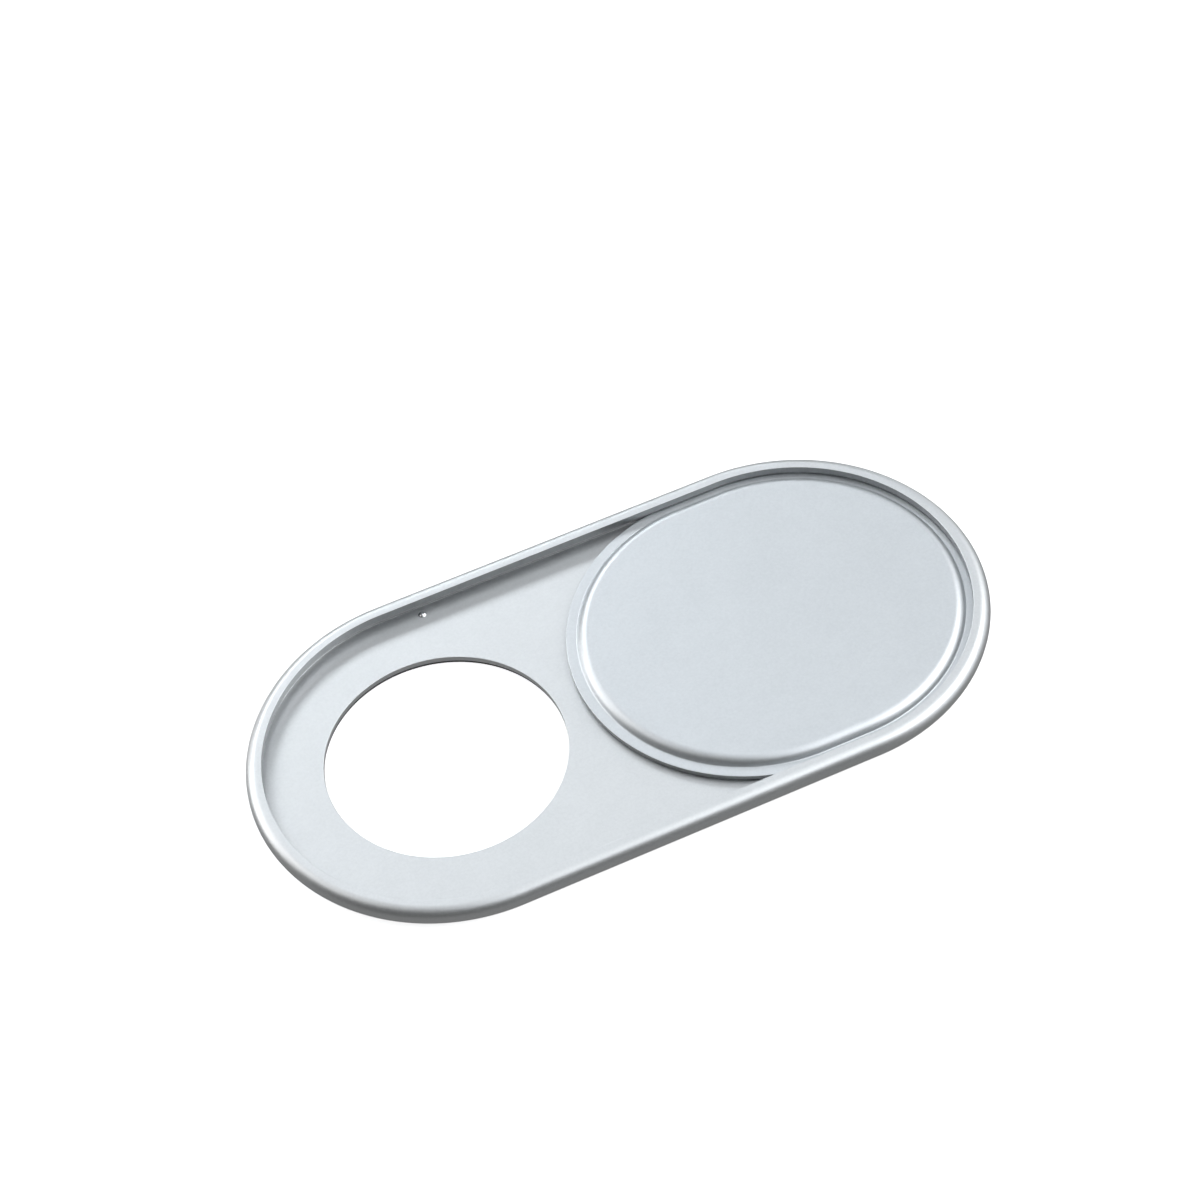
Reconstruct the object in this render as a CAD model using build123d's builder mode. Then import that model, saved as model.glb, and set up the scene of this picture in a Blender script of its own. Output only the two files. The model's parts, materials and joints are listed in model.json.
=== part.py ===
from build123d import *
from math import acos, degrees, sin
import os

# Thin sliding cover that sticks over the camera of a laptop, in millimetres.
# The frame lies flat on its adhesive pad. Z is up, X runs along the slide, and the origin is
# under the middle of the frame, on the pad's sticky side. The camera aperture is at the -X end.
# The model shows the cover open: the slider stands at the +X end.

# Frame: one formed piece with a full-round edge that is rolled over the slider
frame_length = 18.0
frame_width = 9.25
floor_thickness = 0.14
lip_thickness = 0.20
lip_overhang = 0.40       # from the outermost edge in to the edge of the lip
aperture_radius = 2.82
aperture_from_end = 4.60  # from the frame's -X end to the aperture's axis

# Friction dimple: a small bump on the floor that grips the flange when the cover is closed
dimple_radius = 0.10
dimple_height = 0.04
dimple_from_lip = 0.125   # from the edge of the lip in to the dimple's centre
dimple_from_end = 5.63    # from the frame's -X end to the dimple's centre

# Slider: pressed from sheet, with a raised plateau inside a flat flange
slider_straight = 1.11    # length of its straight sides, between the round ends
sheet_thickness = 0.12
flange_width = 0.235
plateau_sink = 0.04       # from the top of the rim down to the plateau
crown_bend = 0.17         # inside radius of the bend round the plateau
foot_bend = 0.04          # inside radius of the bend between the plateau's side and the flange

# Adhesive pad
pad_thickness = 0.08
pad_inset = 0.35          # from the frame's outermost edge in to the pad's edge
pad_hole_margin = 0.02    # how much larger the pad's hole is than the aperture, on the radius

# Room that the slider needs to run
flange_tuck = 0.07        # how far the flange reaches under the lip
side_gap = 0.04           # flange to the channel's wall, on each long side
end_gap = 0.02            # flange to the channel's wall, at the end it stands against
lip_gap = 0.02            # flange to the lip above it
dimple_gap = 0.01         # flange to the top of the dimple

# Radii and half lengths of the ovals
outer_radius = frame_width / 2
frame_half_straight = (frame_length - frame_width) / 2
lip_radius = outer_radius - lip_overhang
flange_radius = lip_radius + flange_tuck
channel_radius = flange_radius + side_gap
slider_half_straight = slider_straight / 2

# Places along the slide
aperture_x = aperture_from_end - frame_length / 2
dimple_x = dimple_from_end - frame_length / 2
slider_x = frame_half_straight + channel_radius - end_gap - flange_radius - slider_half_straight

# Heights above the sticky side
floor_top = pad_thickness + floor_thickness
flange_bottom = floor_top + dimple_height + dimple_gap
flange_top = flange_bottom + sheet_thickness
lip_bottom = flange_top + lip_gap
rim_top = lip_bottom + lip_thickness
plateau_top = rim_top - plateau_sink
edge_radius = (rim_top - pad_thickness) / 2

# The plateau's side is two arcs that meet in a tangent, one over the crown and one at the foot
crown_radius = crown_bend + sheet_thickness
side_angle = acos(1 - (plateau_top - flange_top) / (crown_radius + foot_bend))
side_run = (crown_radius + foot_bend) * sin(side_angle)
plateau_radius = flange_radius - flange_width - side_run


def carry_round(section, middle_x, half_straight):
    """Carry a half section round an oval: extrude it along both sides and revolve it about each end."""
    for way in (1, -1):
        end_axis = Axis((middle_x + way * half_straight, 0, 0), (0, 0, -way))
        revolve(section.moved(Location((middle_x + way * half_straight, 0, 0))), end_axis, 180)
    for half in (section, section.mirror(Plane.XZ)):
        extrude(half.moved(Location((middle_x, 0, 0))), amount=half_straight, both=True)


# Half section of the frame: floor, full-round edge, lip, and the channel under the lip
with BuildSketch(Plane.YZ) as frame_section:
    with BuildLine():
        edge = CenterArc((outer_radius - edge_radius, rim_top - edge_radius), edge_radius, -90, 180)
        Polyline(
            edge @ 1,
            (lip_radius, rim_top),
            (lip_radius, lip_bottom),
            (channel_radius, lip_bottom),
            (channel_radius, floor_top),
            (0, floor_top),
            (0, pad_thickness),
            edge @ 0,
        )
    make_face()

# Half section of the slider: its upper line, given the thickness of the sheet underneath
with BuildSketch(Plane.YZ) as slider_section:
    with BuildLine():
        plateau = Line((0, plateau_top), (plateau_radius, plateau_top))
        crown = JernArc(plateau @ 1, plateau % 1, crown_radius, -degrees(side_angle))
        foot = JernArc(crown @ 1, crown % 1, foot_bend, degrees(side_angle))
        Line(foot @ 1, (flange_radius, flange_top))
        offset(amount=sheet_thickness, side=Side.RIGHT)
    make_face()

with BuildPart() as base_frame:
    carry_round(frame_section.sketch, 0, frame_half_straight)
    with Locations((aperture_x, 0, rim_top)):
        Hole(aperture_radius)
    ball_radius = (dimple_radius**2 + dimple_height**2) / (2 * dimple_height)
    with Locations((dimple_x, lip_radius - dimple_from_lip, floor_top + dimple_height - ball_radius)):
        Sphere(ball_radius, arc_size1=0, align=(Align.CENTER, Align.CENTER, Align.MIN))

with BuildPart() as slider:
    carry_round(slider_section.sketch, slider_x, slider_half_straight)

with BuildPart() as adhesive_pad:
    with BuildSketch():
        SlotCenterToCenter(2 * frame_half_straight, 2 * (outer_radius - pad_inset))
        with Locations((aperture_x, 0)):
            Circle(aperture_radius + pad_hole_margin, mode=Mode.SUBTRACT)
    extrude(amount=pad_thickness)

base_frame.part.label = "base_frame"
slider.part.label = "slider"
adhesive_pad.part.label = "adhesive_pad"

os.makedirs("parts", exist_ok=True)
export_step(base_frame.part, "parts/base_frame.step")
export_step(slider.part, "parts/slider.step")
export_step(adhesive_pad.part, "parts/adhesive_pad.step")
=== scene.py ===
"""Looks of a thin stick-on camera cover: a rolled metal frame, a pressed slider and its tape.

The pieces are modelled in millimetres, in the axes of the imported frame, and brought to metres when they
are done. Heights are above the tape's sticky side, X runs along the slide, and the aperture is at -X.
"""

import json
import logging
from dataclasses import dataclass
from enum import Enum
from math import acos, cos, hypot, pi, radians, sin
from typing import Callable

import bmesh
import bpy
from mathutils import Euler, Matrix, Vector


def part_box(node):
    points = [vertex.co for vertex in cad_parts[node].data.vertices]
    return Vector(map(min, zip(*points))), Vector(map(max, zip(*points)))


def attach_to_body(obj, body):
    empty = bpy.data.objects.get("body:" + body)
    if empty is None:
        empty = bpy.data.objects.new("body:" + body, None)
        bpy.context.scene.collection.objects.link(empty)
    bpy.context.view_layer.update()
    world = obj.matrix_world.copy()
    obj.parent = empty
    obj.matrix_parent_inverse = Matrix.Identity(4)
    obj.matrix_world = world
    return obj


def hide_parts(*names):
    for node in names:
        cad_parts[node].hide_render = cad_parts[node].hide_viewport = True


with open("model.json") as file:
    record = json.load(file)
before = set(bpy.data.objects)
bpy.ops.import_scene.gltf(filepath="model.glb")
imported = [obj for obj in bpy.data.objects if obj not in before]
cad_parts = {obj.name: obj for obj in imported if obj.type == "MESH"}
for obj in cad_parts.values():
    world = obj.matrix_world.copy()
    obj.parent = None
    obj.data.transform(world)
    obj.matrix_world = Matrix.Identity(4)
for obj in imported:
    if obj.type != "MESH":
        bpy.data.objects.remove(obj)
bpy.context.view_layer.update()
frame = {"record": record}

MM = 0.001                    # one millimetre in Blender's metres
MERGE_WITHIN = 0.0005         # mm, points closer than this are one point
OVAL_STEPS = 144              # facets of each round end
BORE_STEPS = 192              # facets of the aperture
SMOOTH_UNDER = radians(35)    # faces that meet at less than this are shaded as one surface
BREAK_OVER = radians(50)      # edges where faces meet at more than this are broken
STEEP = 0.5                   # faces whose normal rises less than this stand upright
NOISE_LOW = 0.3               # most values of a noise lie between these two
NOISE_HIGH = 0.7
WHITE = (1, 1, 1, 1)

log = logging.getLogger("camera_cover")


class Body(Enum):
    """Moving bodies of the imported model."""

    BASE = "base"
    SHUTTER = "shutter"


class Slot(Enum):
    """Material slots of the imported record."""

    FRAME = "frame_metal"
    SLIDER = "slider_metal"
    TAPE = "adhesive"


class Side(Enum):
    """Ends of an oval along the slide, as the sign of X."""

    SLIDER_END = 1
    APERTURE_END = -1


class Join(Enum):
    """Ways to combine a piece with a tool, as Blender names them."""

    CUT = "DIFFERENCE"
    UNITE = "UNION"


class LightTint(Enum):
    """Colours of the studio's lights."""

    COOL = (0.95, 1.0, 1.045)
    NEUTRAL = (1.0, 1.0, 1.0)


@dataclass(frozen=True)
class Extent:
    """Box of a CAD node in millimetres."""

    low: Vector
    high: Vector

    @classmethod
    def of(cls, node: str) -> "Extent":
        """Read the box of a CAD node.

        Args:
            node: Name of the CAD node.

        Returns:
            Its box at rest, in millimetres.
        """
        low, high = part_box(node)
        return cls(low / MM, high / MM)

    @property
    def radius(self) -> float:
        """Radius of the round ends."""
        return (self.high.y - self.low.y) / 2

    @property
    def half_straight(self) -> float:
        """Half the length of the straight sides."""
        return (self.high.x - self.low.x) / 2 - self.radius

    @property
    def middle_x(self) -> float:
        """Middle of the oval along the slide."""
        return (self.high.x + self.low.x) / 2

    @property
    def section_x(self) -> float:
        """Start of the round +X end, where sections are drawn."""
        return self.middle_x + self.half_straight

    def reach(self, point: Vector) -> float:
        """Measure how far a point lies from the oval's core line, seen from above.

        Args:
            point: Place in millimetres.

        Returns:
            The distance, which is the radius at the oval's edge.
        """
        along = max(abs(point.x - self.middle_x) - self.half_straight, 0)
        return hypot(along, point.y)


@dataclass(frozen=True)
class Aperture:
    """Round hole for the camera, in millimetres."""

    x: float
    radius: float

    @classmethod
    def from_record(cls) -> "Aperture":
        """Read the hole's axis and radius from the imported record."""
        mount = next(m for m in frame["record"]["mounts"] if m["name"] == "camera_aperture")
        return cls(mount["pos_m"][0] / MM, mount["dims"]["r_mm"])

    def cut(self, piece: bpy.types.Object, top: float, margin: float = 0.0) -> None:
        """Bore the hole through a piece.

        Args:
            piece: Object to bore, modelled in millimetres.
            top: Height of the piece.
            margin: How much larger than the aperture the hole is, on the radius.
        """
        half_depth = 2 * top  # well past the piece, above and below
        bpy.ops.object.select_all(action="DESELECT")
        bpy.ops.mesh.primitive_cylinder_add(
            vertices=BORE_STEPS, radius=self.radius + margin, depth=2 * half_depth, location=(self.x, 0, 0)
        )
        combine(piece, bpy.context.object, Join.CUT)


class SectionPen:
    """Draws the section of a new piece in a YZ plane, by extruding and spinning the end of its line."""

    def __init__(self, name: str, x: float, radius: float, height: float) -> None:
        """Start a new piece as one point.

        Args:
            name: Name of the piece.
            x: Place of the section plane.
            radius: Distance from the oval's axis to the first point.
            height: Height of the first point.
        """
        bpy.ops.object.select_all(action="DESELECT")
        bpy.ops.mesh.primitive_plane_add(size=1, location=(x, radius, height))
        self.piece = bpy.context.object
        self.piece.name = self.piece.data.name = name
        bpy.ops.object.transform_apply()
        bpy.ops.object.mode_set(mode="EDIT")
        bpy.ops.mesh.select_mode(type="VERT")
        bpy.ops.mesh.merge(type="CENTER")
        self.x = x
        self.radius = radius
        self.height = height

    def line(self, radius: float, height: float) -> None:
        """Draw a straight stroke.

        Args:
            radius: Distance from the oval's axis to the stroke's end.
            height: Height of the stroke's end.
        """
        step = (0, radius - self.radius, height - self.height)
        bpy.ops.mesh.extrude_vertices_move(TRANSFORM_OT_translate={"value": step})
        self.radius, self.height = radius, height

    def arc(self, radius: float, height: float, turn: float, steps: int) -> None:
        """Draw a round stroke about a centre.

        Args:
            radius: Distance from the oval's axis to the arc's centre.
            height: Height of the arc's centre.
            turn: Angle in radians, positive from +Y towards +Z.
            steps: Number of facets.
        """
        bpy.ops.mesh.spin(steps=steps, angle=turn, center=(self.x, radius, height), axis=(-1, 0, 0))
        arm = Vector((self.radius - radius, self.height - height))
        self.radius = radius + arm.x * cos(turn) - arm.y * sin(turn)
        self.height = height + arm.x * sin(turn) + arm.y * cos(turn)


def carry_round(extent: Extent) -> None:
    """Carry the drawn section round an oval: spin it about each end and extrude it along each side.

    Args:
        extent: Box of the oval. The section stands at the start of its +X end, on the +Y side.
    """
    bpy.ops.mesh.select_all(action="SELECT")
    for end in Side:
        shift = end.value * extent.half_straight
        bpy.ops.mesh.spin(
            steps=OVAL_STEPS, angle=pi, center=(extent.middle_x + shift, 0, 0), axis=(0, 0, 1)
        )
        bpy.ops.mesh.extrude_region_move(TRANSFORM_OT_translate={"value": (-2 * shift, 0, 0)})
    bpy.ops.mesh.select_all(action="SELECT")
    bpy.ops.mesh.remove_doubles(threshold=MERGE_WITHIN)


def select_edges(test: Callable[[bmesh.types.BMEdge], bool]) -> None:
    """Select only the edges of the piece in edit mode that pass a test.

    Args:
        test: Says whether an edge is wanted.
    """
    bpy.ops.mesh.select_mode(type="EDGE")
    bpy.ops.mesh.select_all(action="DESELECT")
    mesh = bpy.context.object.data
    shape = bmesh.from_edit_mesh(mesh)
    for edge in shape.edges:
        if test(edge):
            edge.select_set(True)
    bmesh.update_edit_mesh(mesh)


def fill_rim_at(height: float) -> None:
    """Close the open rim that lies at a height with one flat face.

    Args:
        height: Height of the rim.
    """
    select_edges(lambda e: e.is_boundary and all(abs(v.co.z - height) < MERGE_WITHIN for v in e.verts))
    bpy.ops.mesh.edge_face_add()


def face_outwards() -> None:
    """Turn every face of the piece in edit mode outwards."""
    bpy.ops.mesh.select_all(action="SELECT")
    bpy.ops.mesh.normals_make_consistent(inside=False)


def activate(piece: bpy.types.Object) -> None:
    """Make a piece the only selected object, and the active one.

    Args:
        piece: Object to work on next.
    """
    bpy.ops.object.select_all(action="DESELECT")
    piece.select_set(True)
    bpy.context.view_layer.objects.active = piece


def apply_modifier(piece: bpy.types.Object, kind: str, **settings: object) -> None:
    """Add a modifier to a piece and apply it.

    Args:
        piece: Object to change.
        kind: Blender's type of the modifier.
        **settings: Its properties.
    """
    activate(piece)
    bpy.ops.object.modifier_add(type=kind)
    modifier = piece.modifiers[-1]
    for key, value in settings.items():
        setattr(modifier, key, value)
    bpy.ops.object.modifier_apply(modifier=modifier.name)


def combine(piece: bpy.types.Object, tool: bpy.types.Object, join: Join) -> None:
    """Cut a tool out of a piece or unite the two, and remove the tool.

    Args:
        piece: Object that stays.
        tool: Closed object that is used up.
        join: What the tool does to the piece.
    """
    apply_modifier(piece, "BOOLEAN", operation=join.value, object=tool, solver="EXACT")
    bpy.data.objects.remove(tool)


def finish_mesh(piece: bpy.types.Object, edge_round: float, facets: int = 3) -> None:
    """Break the sharp edges of a piece, smooth its shading and bring it to metres.

    Args:
        piece: Object in millimetres.
        edge_round: Width of the broken edges.
        facets: Facets across a broken edge.
    """
    apply_modifier(
        piece, "BEVEL", width=edge_round, segments=facets, limit_method="ANGLE",
        angle_limit=BREAK_OVER, use_clamp_overlap=False,
    )
    activate(piece)
    bpy.ops.object.shade_smooth_by_angle(angle=SMOOTH_UNDER)
    apply_modifier(piece, "WEIGHTED_NORMAL", keep_sharp=True)
    piece.scale = (MM, MM, MM)
    bpy.ops.object.transform_apply()


def attach(piece: bpy.types.Object, node: str, body: Body) -> None:
    """Let a finished piece stand for its CAD node.

    Args:
        piece: Finished object in metres.
        node: CAD node that it replaces.
        body: Body that it moves with.
    """
    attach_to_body(piece, body.value)
    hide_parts(node)


def dress_faces(
    piece: bpy.types.Object, finish: "SatinMetal", wanted: Callable[[Vector, Vector], bool]
) -> None:
    """Give some faces of a finished piece a finish of their own.

    Args:
        piece: Finished object in metres.
        finish: Finish of the chosen faces.
        wanted: Says whether a face is chosen, from its centre in millimetres and its normal.
    """
    piece.data.materials.append(finish.make())
    for face in piece.data.polygons:
        if wanted(face.center / MM, face.normal):
            face.material_index = len(piece.data.materials) - 1


def new_material(name: str) -> tuple[bpy.types.Material, bpy.types.Node]:
    """Make a plain node material.

    Args:
        name: Name of the material.

    Returns:
        The material and its Principled shader.
    """
    material = bpy.data.materials.new(name)
    material.use_nodes = True
    return material, material.node_tree.nodes["Principled BSDF"]


def noise(tree: bpy.types.NodeTree, grain: float, detail: float, stretch: Vector) -> bpy.types.NodeSocket:
    """Add a noise pattern on Object coordinates.

    Args:
        tree: Node tree of the material.
        grain: Size of one grain in millimetres.
        detail: Octaves of finer noise.
        stretch: Scale along each axis.

    Returns:
        The pattern's value socket.
    """
    place = tree.nodes.new("ShaderNodeTexCoord")
    mapping = tree.nodes.new("ShaderNodeMapping")
    mapping.inputs["Scale"].default_value = stretch
    pattern = tree.nodes.new("ShaderNodeTexNoise")
    pattern.inputs["Scale"].default_value = 1 / (grain * MM)
    pattern.inputs["Detail"].default_value = detail
    tree.links.new(place.outputs["Object"], mapping.inputs["Vector"])
    tree.links.new(mapping.outputs["Vector"], pattern.inputs["Vector"])
    return pattern.outputs["Fac"]


def spread(
    tree: bpy.types.NodeTree, value: bpy.types.NodeSocket, low: float, high: float
) -> bpy.types.NodeSocket:
    """Map the middle range of a noise to a range of numbers.

    Args:
        tree: Node tree of the material.
        value: Noise from 0 to 1.
        low: Result at the noise's low side.
        high: Result at the noise's high side.

    Returns:
        The mapped socket.
    """
    node = tree.nodes.new("ShaderNodeMapRange")
    node.inputs["From Min"].default_value = NOISE_LOW
    node.inputs["From Max"].default_value = NOISE_HIGH
    node.inputs["To Min"].default_value = low
    node.inputs["To Max"].default_value = high
    tree.links.new(value, node.inputs["Value"])
    return node.outputs["Result"]


def mix_values(
    tree: bpy.types.NodeTree, first: bpy.types.NodeSocket, second: bpy.types.NodeSocket, share: float
) -> bpy.types.NodeSocket:
    """Mix two patterns.

    Args:
        tree: Node tree of the material.
        first: Pattern from 0 to 1.
        second: Pattern from 0 to 1.
        share: Share of the second pattern.

    Returns:
        The mixed value socket.
    """
    node = tree.nodes.new("ShaderNodeMix")
    node.inputs["Factor"].default_value = share
    tree.links.new(first, node.inputs["A"])
    tree.links.new(second, node.inputs["B"])
    return node.outputs["Result"]


def blend_colours(
    tree: bpy.types.NodeTree, share: bpy.types.NodeSocket, first: Vector, second: Vector
) -> bpy.types.NodeSocket:
    """Mix two colours by a noise.

    Args:
        tree: Node tree of the material.
        share: Noise from 0 to 1.
        first: Colour at the noise's low side.
        second: Colour at the noise's high side.

    Returns:
        The mixed colour socket.
    """
    ramp = tree.nodes.new("ShaderNodeValToRGB")
    start, end = ramp.color_ramp.elements
    start.position = NOISE_LOW
    start.color = (*first, 1)
    end.position = NOISE_HIGH
    end.color = (*second, 1)
    tree.links.new(share, ramp.inputs["Fac"])
    return ramp.outputs["Color"]


def bump(
    tree: bpy.types.NodeTree, height: bpy.types.NodeSocket, depth: float, strength: float
) -> bpy.types.NodeSocket:
    """Turn a pattern into a fine relief.

    Args:
        tree: Node tree of the material.
        height: Pattern from 0 to 1.
        depth: Height of the relief in millimetres.
        strength: Share of the relief that shows.

    Returns:
        The normal socket.
    """
    node = tree.nodes.new("ShaderNodeBump")
    node.inputs["Distance"].default_value = depth * MM
    node.inputs["Strength"].default_value = strength
    tree.links.new(height, node.inputs["Height"])
    return node.outputs["Normal"]


@dataclass(frozen=True)
class SatinMetal:
    """Blasted and anodised aluminium with a fine, even grain."""

    name: str
    light: Vector = Vector((0.872, 0.890, 0.899))
    dark: Vector = Vector((0.812, 0.830, 0.839))
    cloud: float = 0.9            # mm, size of the faint clouds in the colour
    cloud_detail: float = 3       # octaves of finer noise
    grain: float = 0.06           # mm, size of one blasted grain
    grain_detail: float = 2
    grain_share: float = 0.68     # how much of the colour's change is grain
    stretch: Vector = Vector((1, 1, 1))
    relief: float = 0.0012        # mm, depth of the grain
    relief_strength: float = 0.5
    smooth: float = 0.43          # roughness where the surface is smoothest
    rough: float = 0.47

    def make(self) -> bpy.types.Material:
        """Build the node material.

        Returns:
            The material.
        """
        material, shader = new_material(self.name)
        tree = material.node_tree
        grains = noise(tree, self.grain, self.grain_detail, self.stretch)
        clouds = noise(tree, self.cloud, self.cloud_detail, self.stretch)
        mottling = mix_values(tree, clouds, grains, self.grain_share)
        shader.inputs["Metallic"].default_value = 1
        tree.links.new(blend_colours(tree, mottling, self.dark, self.light), shader.inputs["Base Color"])
        tree.links.new(spread(tree, grains, self.smooth, self.rough), shader.inputs["Roughness"])
        tree.links.new(bump(tree, grains, self.relief, self.relief_strength), shader.inputs["Normal"])
        return material


@dataclass(frozen=True)
class SliderSatin(SatinMetal):
    """The same finish on the slider, a shade darker and cooler."""

    light: Vector = Vector((0.832, 0.862, 0.884))
    dark: Vector = Vector((0.772, 0.802, 0.824))


@dataclass(frozen=True)
class PaintedShadeMetal(SatinMetal):
    """Painted shade on the sheet's sheared edges: the satin metal made dark and dull, with fine marks
    across it.
    """

    light: Vector = Vector((0.40, 0.41, 0.42))
    dark: Vector = Vector((0.33, 0.34, 0.35))
    cloud: float = 0.05
    stretch: Vector = Vector((1, 1, 0.25))
    smooth: float = 0.45
    rough: float = 0.55


@dataclass(frozen=True)
class ChannelPaintedShade(PaintedShadeMetal):
    """Painted shade inside the roll: the channel's wall is coloured dark, less so than the lip's edge, for
    the shade that falls in the channel.
    """

    light: Vector = Vector((0.54, 0.55, 0.56))
    dark: Vector = Vector((0.46, 0.47, 0.48))


@dataclass(frozen=True)
class RubbedMetal(SatinMetal):
    """Spot that the slider has rubbed bright."""

    light: Vector = Vector((0.86, 0.87, 0.88))
    dark: Vector = Vector((0.82, 0.83, 0.84))
    relief: float = 0.0003
    smooth: float = 0.16
    rough: float = 0.22


@dataclass(frozen=True)
class DarkTape:
    """Matt dark grey double-sided tape with a fibrous carrier."""

    name: str
    light: Vector = Vector((0.130, 0.130, 0.136))
    dark: Vector = Vector((0.085, 0.085, 0.090))
    fibre: float = 0.06           # mm, width of the carrier's fibres
    fibre_detail: float = 3       # octaves of finer noise
    fibre_stretch: Vector = Vector((0.25, 1, 1))
    relief: float = 0.004         # mm, depth of the fibres
    relief_strength: float = 0.4
    smooth: float = 0.62          # roughness where the surface is smoothest
    rough: float = 0.80

    def make(self) -> bpy.types.Material:
        """Build the node material.

        Returns:
            The material.
        """
        material, shader = new_material(self.name)
        tree = material.node_tree
        fibres = noise(tree, self.fibre, self.fibre_detail, self.fibre_stretch)
        tree.links.new(blend_colours(tree, fibres, self.dark, self.light), shader.inputs["Base Color"])
        tree.links.new(spread(tree, fibres, self.smooth, self.rough), shader.inputs["Roughness"])
        tree.links.new(bump(tree, fibres, self.relief, self.relief_strength), shader.inputs["Normal"])
        return material


@dataclass(frozen=True)
class PaleFloor:
    """Matt pale floor with a glow of its own, so that it stays even."""

    name: str
    colour: Vector = Vector((0.9, 0.9, 0.9))
    glow: float = 0.8

    def make(self) -> bpy.types.Material:
        """Build the material, which is the same all over.

        Returns:
            The material.
        """
        material, shader = new_material(self.name)
        shader.inputs["Base Color"].default_value = (*self.colour, 1)
        shader.inputs["Roughness"].default_value = 1
        shader.inputs["Specular IOR Level"].default_value = 0
        shader.inputs["Emission Color"].default_value = WHITE
        shader.inputs["Emission Strength"].default_value = self.glow
        return material


@dataclass
class FrameShell:
    """One formed metal piece: floor, full-round edge and a lip rolled in over the slider. Sizes in mm."""

    extent: Extent
    aperture: Aperture
    finish: SatinMetal
    floor_top: float = 0.22
    lip_bottom: float = 0.41
    lip_overhang: float = 0.40      # from the outermost edge in to the edge of the lip
    channel_depth: float = 0.11     # from the edge of the lip out to the channel's wall
    floor_start: float = 3.6        # where the drawn section passes into the flat floor
    edge_steps: int = 28            # facets of the full-round edge
    edge_round: float = 0.014       # width of the broken edges
    dimple_from_lip: float = 0.125  # from the edge of the lip in to the dimple's centre
    dimple_x: float = -3.37
    dimple_radius: float = 0.10
    dimple_height: float = 0.04
    dimple_steps: int = 48

    @property
    def lip_radius(self) -> float:
        """Radius of the lip's edge."""
        return self.extent.radius - self.lip_overhang

    @property
    def channel_radius(self) -> float:
        """Radius of the channel's wall."""
        return self.lip_radius + self.channel_depth

    @property
    def dimple_place(self) -> Vector:
        """Foot of the dimple, on the floor."""
        return Vector((self.dimple_x, self.lip_radius - self.dimple_from_lip, self.floor_top))

    def build(self) -> bpy.types.Object:
        """Model the frame and let it stand for its CAD node.

        Returns:
            The finished piece.
        """
        piece = self.roll_section()
        self.aperture.cut(piece, self.extent.high.z)
        self.raise_dimple(piece)
        finish_mesh(piece, self.edge_round)
        self.dress(piece)
        attach(piece, "base_frame", Body.BASE)
        return piece

    def dress(self, piece: bpy.types.Object) -> None:
        """Give the frame a satin finish, painted shade on the lip's edge and in the channel, and a rubbed
        dimple.

        Args:
            piece: The finished frame in metres.
        """
        piece.data.materials.append(self.finish.make())
        inside = self.lip_radius + self.edge_round
        dimple = self.dimple_place
        # painted shade: the lip's edge is coloured dark for the shade that falls on it
        dress_faces(
            piece,
            PaintedShadeMetal("lip_edge_painted_shade"),
            lambda p, n: self.gets_painted_shade(p, n) and self.extent.reach(p) < inside,
        )
        # painted shade: the channel's wall under the lip is coloured dark for the shade in the recess
        dress_faces(
            piece,
            ChannelPaintedShade("channel_wall_painted_shade"),
            lambda p, n: self.gets_painted_shade(p, n) and self.extent.reach(p) >= inside,
        )
        dress_faces(
            piece,
            RubbedMetal("rubbed_dimple"),
            lambda p, n: p.z > dimple.z and (p - dimple).length < self.dimple_radius,
        )

    def gets_painted_shade(self, place: Vector, normal: Vector) -> bool:
        """Say whether a face is the lip's edge or lies in the channel, the faces that get painted shade.

        Args:
            place: Centre of the face in millimetres.
            normal: The face's normal.

        Returns:
            True on the lip's edge, its underside and the channel's wall.
        """
        inner = self.lip_radius - self.edge_round
        outer = self.channel_radius + self.edge_round
        return normal.z < STEEP and place.z > self.floor_top and inner < self.extent.reach(place) < outer

    def roll_section(self) -> bpy.types.Object:
        """Draw the rim's section, carry it round the oval and close the floor.

        Returns:
            The closed frame without its hole.
        """
        bottom, top = self.extent.low.z, self.extent.high.z
        edge_radius = (top - bottom) / 2
        pen = SectionPen("frame_shell", self.extent.section_x, self.floor_start, bottom)
        pen.line(self.extent.radius - edge_radius, bottom)
        pen.arc(pen.radius, bottom + edge_radius, pi, self.edge_steps)
        pen.line(self.lip_radius, top)
        pen.line(self.lip_radius, self.lip_bottom)
        pen.line(self.channel_radius, self.lip_bottom)
        pen.line(self.channel_radius, self.floor_top)
        pen.line(self.floor_start, self.floor_top)
        carry_round(self.extent)
        fill_rim_at(bottom)
        fill_rim_at(self.floor_top)
        face_outwards()
        bpy.ops.object.mode_set(mode="OBJECT")
        return pen.piece

    def raise_dimple(self, piece: bpy.types.Object) -> None:
        """Raise the small friction bump on the floor.

        Args:
            piece: The frame in millimetres.
        """
        ball = (self.dimple_radius**2 + self.dimple_height**2) / (2 * self.dimple_height)
        drop = Vector((0, 0, self.dimple_height - ball))
        root = (self.floor_top + self.extent.low.z) / 2
        bpy.ops.object.select_all(action="DESELECT")
        bpy.ops.mesh.primitive_uv_sphere_add(
            segments=self.dimple_steps, ring_count=self.dimple_steps, radius=ball,
            location=self.dimple_place + drop,
        )
        bpy.ops.object.transform_apply()
        bpy.ops.object.mode_set(mode="EDIT")
        bpy.ops.mesh.select_all(action="SELECT")
        bpy.ops.mesh.bisect(plane_co=(0, 0, root), plane_no=(0, 0, 1), use_fill=True, clear_inner=True)
        bpy.ops.object.mode_set(mode="OBJECT")
        combine(piece, bpy.context.object, Join.UNITE)


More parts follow.
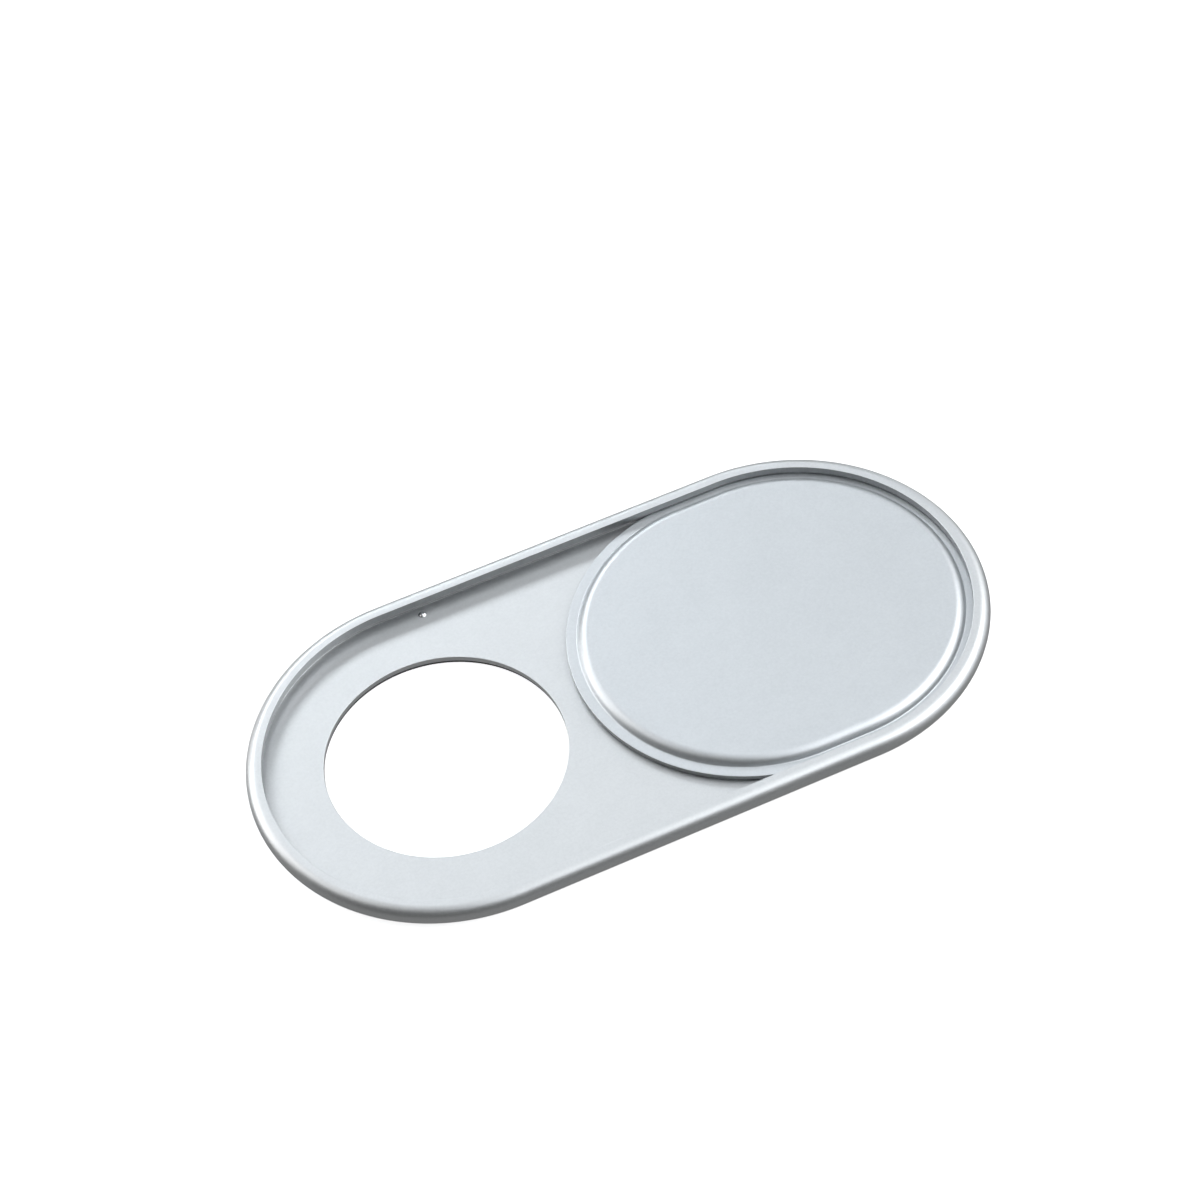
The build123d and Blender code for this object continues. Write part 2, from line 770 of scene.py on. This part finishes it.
@dataclass
class SliderPlate:
    """Slider pressed from sheet: a raised plateau with a rounded edge inside a flat flange. Sizes in mm."""

    extent: Extent
    finish: SatinMetal
    sheet: float = 0.12
    flange_width: float = 0.235
    crown_radius: float = 0.29      # outside of the bend round the plateau
    foot_radius: float = 0.04       # inside of the bend down to the flange
    bend_steps: int = 14
    edge_round: float = 0.018

    def build(self) -> bpy.types.Object:
        """Model the slider and let it stand for its CAD node.

        Returns:
            The finished piece.
        """
        piece = self.press_sheet()
        apply_modifier(piece, "SOLIDIFY", thickness=self.sheet, offset=-1, use_even_offset=True)
        finish_mesh(piece, self.edge_round)
        self.dress(piece)
        attach(piece, "slider", Body.SHUTTER)
        return piece

    def dress(self, piece: bpy.types.Object) -> None:
        """Give the slider a satin finish and painted shade on its dull sheared edge.

        Args:
            piece: The finished slider in metres.
        """
        piece.data.materials.append(self.finish.make())
        edge = self.extent.radius - self.sheet / 2
        # painted shade: the flange's upright edge is coloured dark for the shade that falls on it
        dress_faces(
            piece, PaintedShadeMetal("slider_edge_painted_shade"), lambda p, n: abs(n.z) < STEEP and self.extent.reach(p) > edge
        )

    def press_sheet(self) -> bpy.types.Object:
        """Draw the upper line of the pressed sheet and carry it round the oval.

        Returns:
            The sheet's upper side, with no thickness.
        """
        top = self.extent.high.z
        flange_top = self.extent.low.z + self.sheet
        reach = self.crown_radius + self.foot_radius
        turn = acos(1 - (top - flange_top) / reach)
        plateau_radius = self.extent.radius - self.flange_width - reach * sin(turn)
        pen = SectionPen("slider_plate", self.extent.section_x, plateau_radius, top)
        pen.arc(plateau_radius, top - self.crown_radius, -turn, self.bend_steps)
        pen.arc(plateau_radius + reach * sin(turn), flange_top + self.foot_radius, turn, self.bend_steps)
        pen.line(self.extent.radius, flange_top)
        carry_round(self.extent)
        fill_rim_at(top)
        face_outwards()
        bpy.ops.object.mode_set(mode="OBJECT")
        return pen.piece


@dataclass
class TapePad:
    """Double-sided tape under the frame, with a hole for the camera. Sizes in mm."""

    extent: Extent
    aperture: Aperture
    finish: DarkTape
    hole_margin: float = 0.02
    edge_round: float = 0.008
    edge_facets: int = 2

    def build(self) -> bpy.types.Object:
        """Model the tape and let it stand for its CAD node.

        Returns:
            The finished piece.
        """
        piece = self.lay_sheet()
        self.aperture.cut(piece, self.extent.high.z, self.hole_margin)
        finish_mesh(piece, self.edge_round, self.edge_facets)
        self.dress(piece)
        attach(piece, "adhesive_pad", Body.BASE)
        return piece

    def dress(self, piece: bpy.types.Object) -> None:
        """Give the whole tape its finish."""
        piece.data.materials.append(self.finish.make())

    def lay_sheet(self) -> bpy.types.Object:
        """Draw the tape's edge, carry it round the oval and close both sides.

        Returns:
            The closed sheet without its hole.
        """
        bottom, top = self.extent.low.z, self.extent.high.z
        pen = SectionPen("tape_pad", self.extent.section_x, self.extent.radius, bottom)
        pen.line(self.extent.radius, top)
        carry_round(self.extent)
        fill_rim_at(bottom)
        fill_rim_at(top)
        face_outwards()
        bpy.ops.object.mode_set(mode="OBJECT")
        return pen.piece


@dataclass(frozen=True)
class Softbox:
    """One soft studio light that faces the cover."""

    name: str
    azimuth: float            # degrees from +X towards +Y
    elevation: float          # degrees above the floor, or below it where negative
    width: float              # degrees that it covers, as the cover sees it
    height: float
    radiance: float
    tint: LightTint = LightTint.COOL
    distance: float = 0.30    # metres

    def hang(self) -> bpy.types.Object:
        """Place the light.

        Returns:
            The light object.
        """
        azimuth, elevation = radians(self.azimuth), radians(self.elevation)
        towards = Vector((cos(azimuth) * cos(elevation), sin(azimuth) * cos(elevation), sin(elevation)))
        width, height = (2 * self.distance * sin(radians(a / 2)) for a in (self.width, self.height))
        bpy.ops.object.light_add(type="AREA", location=towards * self.distance)
        lamp = bpy.context.object
        lamp.name = self.name
        lamp.rotation_euler = towards.to_track_quat("Z", "Y").to_euler()
        lamp.data.shape = "RECTANGLE"
        lamp.data.size, lamp.data.size_y = width, height
        lamp.data.color = self.tint.value
        lamp.data.energy = self.radiance * width * height * pi
        lamp.visible_camera = False
        return lamp


@dataclass
class Studio:
    """Pale floor, soft light and the camera at the photographed angle."""

    finish: PaleFloor
    floor_size: float = 2.0         # metres
    floor_drop: float = 0.00001     # metres below the tape
    wall_height: float = 1.0        # metres, pale walls round the floor, which low views look at
    horizon: float = 0.1            # half the height of the blend at the horizon, as the ray's Z
    low_glow: float = 0.21          # strength of the surroundings below the horizon
    high_glow: float = 0.07
    orbit: float = -17.21           # degrees about Z
    tilt: float = 39.45             # degrees from straight down
    roll: float = -8.38             # degrees about the line of sight
    aim_height: float = 0.61        # mm, top of the rim
    stand: Vector = Vector((-0.4585, 1.6765, 69.97))  # mm right, up and back from the aim point
    focal_px: float = 3039.6
    image_px: float = 1200
    sensor: float = 36.0            # mm
    clip_start: float = 0.001       # metres

    def lay_floor(self) -> bpy.types.Object:
        """Lay the pale floor under the tape.

        Returns:
            The floor object.
        """
        bpy.ops.object.select_all(action="DESELECT")
        bpy.ops.mesh.primitive_plane_add(size=self.floor_size, location=(0, 0, -self.floor_drop))
        floor = bpy.context.object
        floor.name = "floor"
        bpy.ops.object.mode_set(mode="EDIT")
        select_edges(lambda e: e.is_boundary)
        bpy.ops.mesh.extrude_region_move(TRANSFORM_OT_translate={"value": (0, 0, self.wall_height)})
        bpy.ops.object.mode_set(mode="OBJECT")
        floor.data.materials.append(self.finish.make())
        floor.visible_glossy = False
        floor.visible_diffuse = False
        floor.visible_shadow = False
        return floor

    def dim_surroundings(self) -> bpy.types.World:
        """Surround the cover with a dim glow, stronger below the horizon than above it.

        Returns:
            The world that glows.
        """
        world = bpy.data.worlds.new("studio_world")
        world.use_nodes = True
        tree = world.node_tree
        place = tree.nodes.new("ShaderNodeTexCoord")
        split = tree.nodes.new("ShaderNodeSeparateXYZ")
        shade = tree.nodes.new("ShaderNodeMapRange")
        shade.inputs["From Min"].default_value = -self.horizon
        shade.inputs["From Max"].default_value = self.horizon
        shade.inputs["To Min"].default_value = self.low_glow
        shade.inputs["To Max"].default_value = self.high_glow
        background = tree.nodes["Background"]
        background.inputs["Color"].default_value = WHITE
        tree.links.new(place.outputs["Generated"], split.inputs["Vector"])
        tree.links.new(split.outputs["Z"], shade.inputs["Value"])
        tree.links.new(shade.outputs["Result"], background.inputs["Strength"])
        bpy.context.scene.world = world
        return world

    def hang_lights(self) -> list[bpy.types.Object]:
        """Hang the softboxes, each with its azimuth, elevation, width, height and radiance.

        Returns:
            The light objects.
        """
        boxes = (
            Softbox("back_strip", 92, 35, 38, 12, 4.6),
            Softbox("overhead", 0, 78, 80, 30, 0.97),
            Softbox("front_top", 290, 60, 50, 30, 0.35),
            Softbox("right_high", 345, 45, 60, 34, 2.6, LightTint.NEUTRAL),
            Softbox("right_low", 340, 14, 80, 28, 0.7),
            Softbox("right_back", 35, 25, 40, 44, 0.7),
            Softbox("left_high", 130, 40, 36, 24, 1.2, LightTint.NEUTRAL),
            Softbox("left_top", 155, 56, 44, 28, 0.75, LightTint.NEUTRAL),
            Softbox("left_strip", 140, 18, 36, 22, 2.6, LightTint.NEUTRAL),
            Softbox("back_floor", 85, -25, 110, 50, 0.42, LightTint.NEUTRAL),
        )
        return [box.hang() for box in boxes]

    def set_camera(self) -> bpy.types.Object:
        """Place the camera at the photographed angle.

        Returns:
            The camera object.
        """
        turn = (
            Euler((0, 0, radians(self.orbit))).to_matrix()
            @ Euler((radians(self.tilt), 0, 0)).to_matrix()
            @ Euler((0, 0, radians(self.roll))).to_matrix()
        )
        place = turn @ self.stand + Vector((0, 0, self.aim_height))
        bpy.ops.object.camera_add()
        camera = bpy.context.object
        camera.matrix_world = Matrix.Translation(place * MM) @ turn.to_4x4()
        camera.data.sensor_width = self.sensor
        camera.data.lens = self.focal_px / self.image_px * self.sensor
        camera.data.clip_start = self.clip_start
        bpy.context.scene.camera = camera
        return camera


def main() -> None:
    """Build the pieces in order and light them."""
    logging.basicConfig(level=logging.INFO, format="%(name)s: %(message)s")
    aperture = Aperture.from_record()
    builders = (
        TapePad(Extent.of("adhesive_pad"), aperture, DarkTape("tape_carrier")),
        FrameShell(Extent.of("base_frame"), aperture, SatinMetal("frame_satin")),
        SliderPlate(Extent.of("slider"), SliderSatin("slider_satin")),
    )
    for builder in builders:
        piece = builder.build()
        log.info("%s: %d faces", piece.name, len(piece.data.polygons))
    studio = Studio(PaleFloor("pale_floor"))
    studio.lay_floor()
    studio.dim_surroundings()
    log.info("%d softboxes", len(studio.hang_lights()))
    studio.set_camera()
    bpy.context.scene.view_settings.view_transform = "Standard"


if __name__ == "__main__":
    main()
